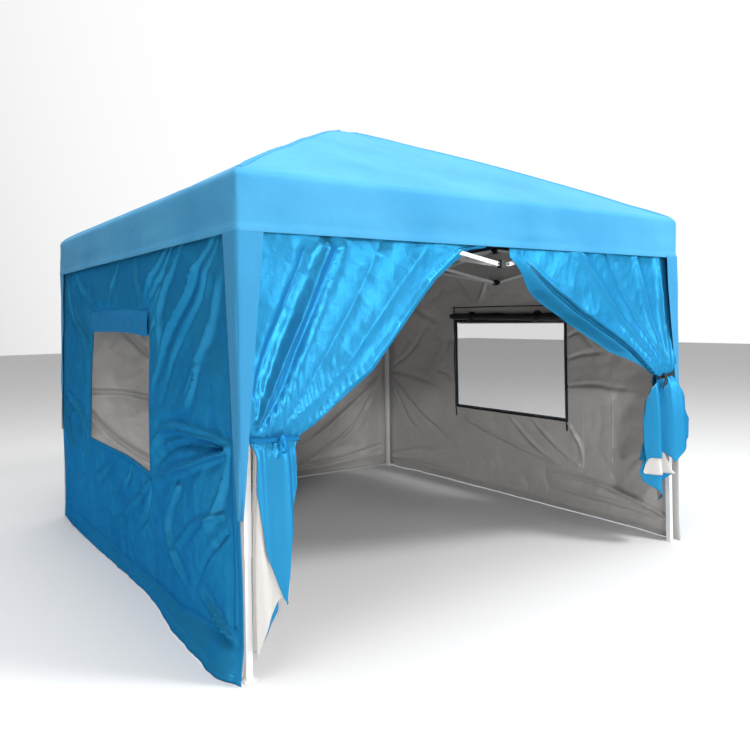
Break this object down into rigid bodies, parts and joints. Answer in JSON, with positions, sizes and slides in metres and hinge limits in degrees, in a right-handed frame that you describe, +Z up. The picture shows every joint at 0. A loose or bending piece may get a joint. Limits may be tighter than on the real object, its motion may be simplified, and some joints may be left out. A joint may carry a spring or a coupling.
{
  "type": "pop up canopy",
  "caption": "Free-standing pop up canopy with a folding scissor frame, hipped cloth roof, three walls with two windows and tied-back door curtains.",
  "frame": {"origin": "on the ground under the middle of the roof, bottom centre of the bounding box", "axes": "+Z up, the door faces -Y, the walls with windows are on -X and +X, the plain wall is on +Y"},
  "size_m": [3, 3, 2.668],
  "materials": {
    "cover_cloth": "coated polyester, satin",
    "wall_cloth": "coated polyester with a silver lining",
    "window_film": "clear vinyl film",
    "white_paint": "white powder coat",
    "mast_tube": "satin",
    "black_plastic": "moulded nylon"
  },
  "bodies": {
    "hub": {"upper_hub": "black_plastic", "roof_cover": "cover_cloth"},
    "front_centre_bar_high": {"front_centre_bar_high": "white_paint"},
    "front_centre_bar_low": {"front_centre_bar_low": "white_paint"},
    "front_upper_bracket": {"front_upper_bracket": "black_plastic", "left_curtain": "cover_cloth", "right_curtain": "cover_cloth"},
    "front_lower_bracket": {"front_lower_bracket": "black_plastic"},
    "front_bar_high_right": {"front_bar_high_right": "white_paint"},
    "front_bar_low_right": {"front_bar_low_right": "white_paint"},
    "leg_front_right": {"outer_leg_front_right": "white_paint", "top_bracket_front_right": "black_plastic"},
    "slider_front_right": {"slider_front_right": "black_plastic"},
    "foot_front_right": {"inner_leg_front_right": "white_paint"},
    "front_bar_high_left": {"front_bar_high_left": "white_paint"},
    "front_bar_low_left": {"front_bar_low_left": "white_paint"},
    "right_centre_bar_high": {"right_centre_bar_high": "white_paint"},
    "right_centre_bar_low": {"right_centre_bar_low": "white_paint"},
    "right_upper_bracket": {"right_upper_bracket": "black_plastic", "right_wall": "wall_cloth", "right_window": "window_film"},
    "right_lower_bracket": {"right_lower_bracket": "black_plastic"},
    "right_bar_high_back": {"right_bar_high_back": "white_paint"},
    "right_bar_low_back": {"right_bar_low_back": "white_paint"},
    "leg_back_right": {"outer_leg_back_right": "white_paint", "top_bracket_back_right": "black_plastic"},
    "slider_back_right": {"slider_back_right": "black_plastic"},
    "foot_back_right": {"inner_leg_back_right": "white_paint"},
    "right_bar_high_front": {"right_bar_high_front": "white_paint"},
    "right_bar_low_front": {"right_bar_low_front": "white_paint"},
    "back_centre_bar_high": {"back_centre_bar_high": "white_paint"},
    "back_centre_bar_low": {"back_centre_bar_low": "white_paint"},
    "back_upper_bracket": {"back_upper_bracket": "black_plastic", "back_wall": "wall_cloth"},
    "back_lower_bracket": {"back_lower_bracket": "black_plastic"},
    "back_bar_high_left": {"back_bar_high_left": "white_paint"},
    "back_bar_low_left": {"back_bar_low_left": "white_paint"},
    "leg_back_left": {"outer_leg_back_left": "white_paint", "top_bracket_back_left": "black_plastic"},
    "slider_back_left": {"slider_back_left": "black_plastic"},
    "foot_back_left": {"inner_leg_back_left": "white_paint"},
    "back_bar_high_right": {"back_bar_high_right": "white_paint"},
    "back_bar_low_right": {"back_bar_low_right": "white_paint"},
    "left_centre_bar_high": {"left_centre_bar_high": "white_paint"},
    "left_centre_bar_low": {"left_centre_bar_low": "white_paint"},
    "left_upper_bracket": {"left_upper_bracket": "black_plastic", "left_wall": "wall_cloth", "left_window": "window_film"},
    "left_lower_bracket": {"left_lower_bracket": "black_plastic"},
    "left_bar_high_front": {"left_bar_high_front": "white_paint"},
    "left_bar_low_front": {"left_bar_low_front": "white_paint"},
    "leg_front_left": {"outer_leg_front_left": "white_paint", "top_bracket_front_left": "black_plastic"},
    "slider_front_left": {"slider_front_left": "black_plastic"},
    "foot_front_left": {"inner_leg_front_left": "white_paint"},
    "left_bar_high_back": {"left_bar_high_back": "white_paint"},
    "left_bar_low_back": {"left_bar_low_back": "white_paint"},
    "lower_hub": {"lower_hub": "black_plastic"},
    "mast": {"mast": "mast_tube", "mast_cap": "black_plastic"}
  },
  "joints": [
    {"name": "front_centre_fold", "type": "hinge", "parent": "hub", "child": "front_centre_bar_high", "pos_m": [0, -0.034, 1.93], "axis": [1, 0, 0], "range_deg": [0, 77], "deforming": ["roof_cover", "left_wall", "left_window", "right_wall", "right_window", "back_wall", "left_curtain", "right_curtain"]},
    {"name": "front_centre_cross", "type": "hinge", "parent": "front_centre_bar_high", "child": "front_centre_bar_low", "pos_m": [0, -0.7235, 1.805], "axis": [-1, 0, 0], "range_deg": [0, 154]},
    {"name": "front_upper_bracket_pin", "type": "hinge", "parent": "front_centre_bar_low", "child": "front_upper_bracket", "pos_m": [0, -1.413, 1.93], "axis": [1, 0, 0], "range_deg": [0, 77]},
    {"name": "front_lower_bracket_pin", "type": "hinge", "parent": "front_centre_bar_high", "child": "front_lower_bracket", "pos_m": [0, -1.413, 1.68], "axis": [-1, 0, 0], "range_deg": [0, 77]},
    {"name": "front_low_bar_pin_right", "type": "hinge", "parent": "front_upper_bracket", "child": "front_bar_low_right", "pos_m": [0.034, -1.447, 1.93], "axis": [0, 1, 0], "range_deg": [0, 77]},
    {"name": "front_cross_right", "type": "hinge", "parent": "front_bar_low_right", "child": "front_bar_high_right", "pos_m": [0.7235, -1.447, 1.805], "axis": [0, -1, 0], "range_deg": [0, 154]},
    {"name": "front_right_top_bracket_pin", "type": "hinge", "parent": "front_bar_high_right", "child": "leg_front_right", "pos_m": [1.413, -1.447, 1.93], "axis": [0, 1, 0], "range_deg": [0, 77]},
    {"name": "front_right_slider_pin", "type": "hinge", "parent": "front_bar_low_right", "child": "slider_front_right", "pos_m": [1.413, -1.447, 1.68], "axis": [0, -1, 0], "range_deg": [0, 77]},
    {"name": "front_right_leg_height", "type": "slide", "parent": "leg_front_right", "child": "foot_front_right", "axis": [0, 0, 1], "range_m": [0, 0.44]},
    {"name": "front_low_bar_pin_left", "type": "hinge", "parent": "front_upper_bracket", "child": "front_bar_low_left", "pos_m": [-0.034, -1.447, 1.93], "axis": [0, -1, 0], "range_deg": [0, 77]},
    {"name": "front_cross_left", "type": "hinge", "parent": "front_bar_low_left", "child": "front_bar_high_left", "pos_m": [-0.7235, -1.447, 1.805], "axis": [0, 1, 0], "range_deg": [0, 154]},
    {"name": "right_centre_fold", "type": "hinge", "parent": "hub", "child": "right_centre_bar_high", "pos_m": [0.034, 0, 1.93], "axis": [0, 1, 0], "range_deg": [0, 77]},
    {"name": "right_centre_cross", "type": "hinge", "parent": "right_centre_bar_high", "child": "right_centre_bar_low", "pos_m": [0.7235, 0, 1.805], "axis": [0, -1, 0], "range_deg": [0, 154]},
    {"name": "right_upper_bracket_pin", "type": "hinge", "parent": "right_centre_bar_low", "child": "right_upper_bracket", "pos_m": [1.413, 0, 1.93], "axis": [0, 1, 0], "range_deg": [0, 77]},
    {"name": "right_lower_bracket_pin", "type": "hinge", "parent": "right_centre_bar_high", "child": "right_lower_bracket", "pos_m": [1.413, 0, 1.68], "axis": [0, -1, 0], "range_deg": [0, 77]},
    {"name": "right_low_bar_pin_back", "type": "hinge", "parent": "right_upper_bracket", "child": "right_bar_low_back", "pos_m": [1.447, 0.034, 1.93], "axis": [-1, 0, 0], "range_deg": [0, 77]},
    {"name": "right_cross_back", "type": "hinge", "parent": "right_bar_low_back", "child": "right_bar_high_back", "pos_m": [1.447, 0.7235, 1.805], "axis": [1, 0, 0], "range_deg": [0, 154]},
    {"name": "back_right_top_bracket_pin", "type": "hinge", "parent": "right_bar_high_back", "child": "leg_back_right", "pos_m": [1.447, 1.413, 1.93], "axis": [-1, 0, 0], "range_deg": [0, 77]},
    {"name": "back_right_slider_pin", "type": "hinge", "parent": "right_bar_low_back", "child": "slider_back_right", "pos_m": [1.447, 1.413, 1.68], "axis": [1, 0, 0], "range_deg": [0, 77]},
    {"name": "back_right_leg_height", "type": "slide", "parent": "leg_back_right", "child": "foot_back_right", "axis": [0, 0, 1], "range_m": [0, 0.44]},
    {"name": "right_low_bar_pin_front", "type": "hinge", "parent": "right_upper_bracket", "child": "right_bar_low_front", "pos_m": [1.447, -0.034, 1.93], "axis": [1, 0, 0], "range_deg": [0, 77]},
    {"name": "right_cross_front", "type": "hinge", "parent": "right_bar_low_front", "child": "right_bar_high_front", "pos_m": [1.447, -0.7235, 1.805], "axis": [-1, 0, 0], "range_deg": [0, 154]},
    {"name": "back_centre_fold", "type": "hinge", "parent": "hub", "child": "back_centre_bar_high", "pos_m": [0, 0.034, 1.93], "axis": [-1, 0, 0], "range_deg": [0, 77]},
    {"name": "back_centre_cross", "type": "hinge", "parent": "back_centre_bar_high", "child": "back_centre_bar_low", "pos_m": [0, 0.7235, 1.805], "axis": [1, 0, 0], "range_deg": [0, 154]},
    {"name": "back_upper_bracket_pin", "type": "hinge", "parent": "back_centre_bar_low", "child": "back_upper_bracket", "pos_m": [0, 1.413, 1.93], "axis": [-1, 0, 0], "range_deg": [0, 77]},
    {"name": "back_lower_bracket_pin", "type": "hinge", "parent": "back_centre_bar_high", "child": "back_lower_bracket", "pos_m": [0, 1.413, 1.68], "axis": [1, 0, 0], "range_deg": [0, 77]},
    {"name": "back_low_bar_pin_left", "type": "hinge", "parent": "back_upper_bracket", "child": "back_bar_low_left", "pos_m": [-0.034, 1.447, 1.93], "axis": [0, -1, 0], "range_deg": [0, 77]},
    {"name": "back_cross_left", "type": "hinge", "parent": "back_bar_low_left", "child": "back_bar_high_left", "pos_m": [-0.7235, 1.447, 1.805], "axis": [0, 1, 0], "range_deg": [0, 154]},
    {"name": "back_left_top_bracket_pin", "type": "hinge", "parent": "back_bar_high_left", "child": "leg_back_left", "pos_m": [-1.413, 1.447, 1.93], "axis": [0, -1, 0], "range_deg": [0, 77]},
    {"name": "back_left_slider_pin", "type": "hinge", "parent": "back_bar_low_left", "child": "slider_back_left", "pos_m": [-1.413, 1.447, 1.68], "axis": [0, 1, 0], "range_deg": [0, 77]},
    {"name": "back_left_leg_height", "type": "slide", "parent": "leg_back_left", "child": "foot_back_left", "axis": [0, 0, 1], "range_m": [0, 0.44]},
    {"name": "back_low_bar_pin_right", "type": "hinge", "parent": "back_upper_bracket", "child": "back_bar_low_right", "pos_m": [0.034, 1.447, 1.93], "axis": [0, 1, 0], "range_deg": [0, 77]},
    {"name": "back_cross_right", "type": "hinge", "parent": "back_bar_low_right", "child": "back_bar_high_right", "pos_m": [0.7235, 1.447, 1.805], "axis": [0, -1, 0], "range_deg": [0, 154]},
    {"name": "left_centre_fold", "type": "hinge", "parent": "hub", "child": "left_centre_bar_high", "pos_m": [-0.034, 0, 1.93], "axis": [0, -1, 0], "range_deg": [0, 77]},
    {"name": "left_centre_cross", "type": "hinge", "parent": "left_centre_bar_high", "child": "left_centre_bar_low", "pos_m": [-0.7235, 0, 1.805], "axis": [0, 1, 0], "range_deg": [0, 154]},
    {"name": "left_upper_bracket_pin", "type": "hinge", "parent": "left_centre_bar_low", "child": "left_upper_bracket", "pos_m": [-1.413, 0, 1.93], "axis": [0, -1, 0], "range_deg": [0, 77]},
    {"name": "left_lower_bracket_pin", "type": "hinge", "parent": "left_centre_bar_high", "child": "left_lower_bracket", "pos_m": [-1.413, 0, 1.68], "axis": [0, 1, 0], "range_deg": [0, 77]},
    {"name": "left_low_bar_pin_front", "type": "hinge", "parent": "left_upper_bracket", "child": "left_bar_low_front", "pos_m": [-1.447, -0.034, 1.93], "axis": [1, 0, 0], "range_deg": [0, 77]},
    {"name": "left_cross_front", "type": "hinge", "parent": "left_bar_low_front", "child": "left_bar_high_front", "pos_m": [-1.447, -0.7235, 1.805], "axis": [-1, 0, 0], "range_deg": [0, 154]},
    {"name": "front_left_top_bracket_pin", "type": "hinge", "parent": "left_bar_high_front", "child": "leg_front_left", "pos_m": [-1.447, -1.413, 1.93], "axis": [1, 0, 0], "range_deg": [0, 77]},
    {"name": "front_left_slider_pin", "type": "hinge", "parent": "left_bar_low_front", "child": "slider_front_left", "pos_m": [-1.447, -1.413, 1.68], "axis": [-1, 0, 0], "range_deg": [0, 77]},
    {"name": "front_left_leg_height", "type": "slide", "parent": "leg_front_left", "child": "foot_front_left", "axis": [0, 0, 1], "range_m": [0, 0.44]},
    {"name": "left_low_bar_pin_back", "type": "hinge", "parent": "left_upper_bracket", "child": "left_bar_low_back", "pos_m": [-1.447, 0.034, 1.93], "axis": [-1, 0, 0], "range_deg": [0, 77]},
    {"name": "left_cross_back", "type": "hinge", "parent": "left_bar_low_back", "child": "left_bar_high_back", "pos_m": [-1.447, 0.7235, 1.805], "axis": [1, 0, 0], "range_deg": [0, 154]},
    {"name": "lower_hub_pin", "type": "hinge", "parent": "front_centre_bar_low", "child": "lower_hub", "pos_m": [0, -0.034, 1.68], "axis": [1, 0, 0], "range_deg": [0, 77]},
    {"name": "mast_slide", "type": "slide", "parent": "hub", "child": "mast", "axis": [0, 0, -1], "range_m": [0, 0.65]}
  ],
  "couplings": [
    {"joint": "front_centre_cross", "follows": "front_centre_fold", "ratio": 2},
    {"joint": "front_upper_bracket_pin", "follows": "front_centre_fold", "ratio": 1},
    {"joint": "front_lower_bracket_pin", "follows": "front_centre_fold", "ratio": 1},
    {"joint": "front_low_bar_pin_right", "follows": "front_centre_fold", "ratio": 1},
    {"joint": "front_cross_right", "follows": "front_centre_fold", "ratio": 2},
    {"joint": "front_right_top_bracket_pin", "follows": "front_centre_fold", "ratio": 1},
    {"joint": "front_right_slider_pin", "follows": "front_centre_fold", "ratio": 1},
    {"joint": "front_low_bar_pin_left", "follows": "front_centre_fold", "ratio": 1},
    {"joint": "front_cross_left", "follows": "front_centre_fold", "ratio": 2},
    {"joint": "right_centre_fold", "follows": "front_centre_fold", "ratio": 1},
    {"joint": "right_centre_cross", "follows": "front_centre_fold", "ratio": 2},
    {"joint": "right_upper_bracket_pin", "follows": "front_centre_fold", "ratio": 1},
    {"joint": "right_lower_bracket_pin", "follows": "front_centre_fold", "ratio": 1},
    {"joint": "right_low_bar_pin_back", "follows": "front_centre_fold", "ratio": 1},
    {"joint": "right_cross_back", "follows": "front_centre_fold", "ratio": 2},
    {"joint": "back_right_top_bracket_pin", "follows": "front_centre_fold", "ratio": 1},
    {"joint": "back_right_slider_pin", "follows": "front_centre_fold", "ratio": 1},
    {"joint": "right_low_bar_pin_front", "follows": "front_centre_fold", "ratio": 1},
    {"joint": "right_cross_front", "follows": "front_centre_fold", "ratio": 2},
    {"joint": "back_centre_fold", "follows": "front_centre_fold", "ratio": 1},
    {"joint": "back_centre_cross", "follows": "front_centre_fold", "ratio": 2},
    {"joint": "back_upper_bracket_pin", "follows": "front_centre_fold", "ratio": 1},
    {"joint": "back_lower_bracket_pin", "follows": "front_centre_fold", "ratio": 1},
    {"joint": "back_low_bar_pin_left", "follows": "front_centre_fold", "ratio": 1},
    {"joint": "back_cross_left", "follows": "front_centre_fold", "ratio": 2},
    {"joint": "back_left_top_bracket_pin", "follows": "front_centre_fold", "ratio": 1},
    {"joint": "back_left_slider_pin", "follows": "front_centre_fold", "ratio": 1},
    {"joint": "back_low_bar_pin_right", "follows": "front_centre_fold", "ratio": 1},
    {"joint": "back_cross_right", "follows": "front_centre_fold", "ratio": 2},
    {"joint": "left_centre_fold", "follows": "front_centre_fold", "ratio": 1},
    {"joint": "left_centre_cross", "follows": "front_centre_fold", "ratio": 2},
    {"joint": "left_upper_bracket_pin", "follows": "front_centre_fold", "ratio": 1},
    {"joint": "left_lower_bracket_pin", "follows": "front_centre_fold", "ratio": 1},
    {"joint": "left_low_bar_pin_front", "follows": "front_centre_fold", "ratio": 1},
    {"joint": "left_cross_front", "follows": "front_centre_fold", "ratio": 2},
    {"joint": "front_left_top_bracket_pin", "follows": "front_centre_fold", "ratio": 1},
    {"joint": "front_left_slider_pin", "follows": "front_centre_fold", "ratio": 1},
    {"joint": "left_low_bar_pin_back", "follows": "front_centre_fold", "ratio": 1},
    {"joint": "left_cross_back", "follows": "front_centre_fold", "ratio": 2},
    {"joint": "lower_hub_pin", "follows": "front_centre_fold", "ratio": 1},
    {"joint": "mast_slide", "follows": "front_centre_fold", "m_per_rad": 0.48}
  ]
}
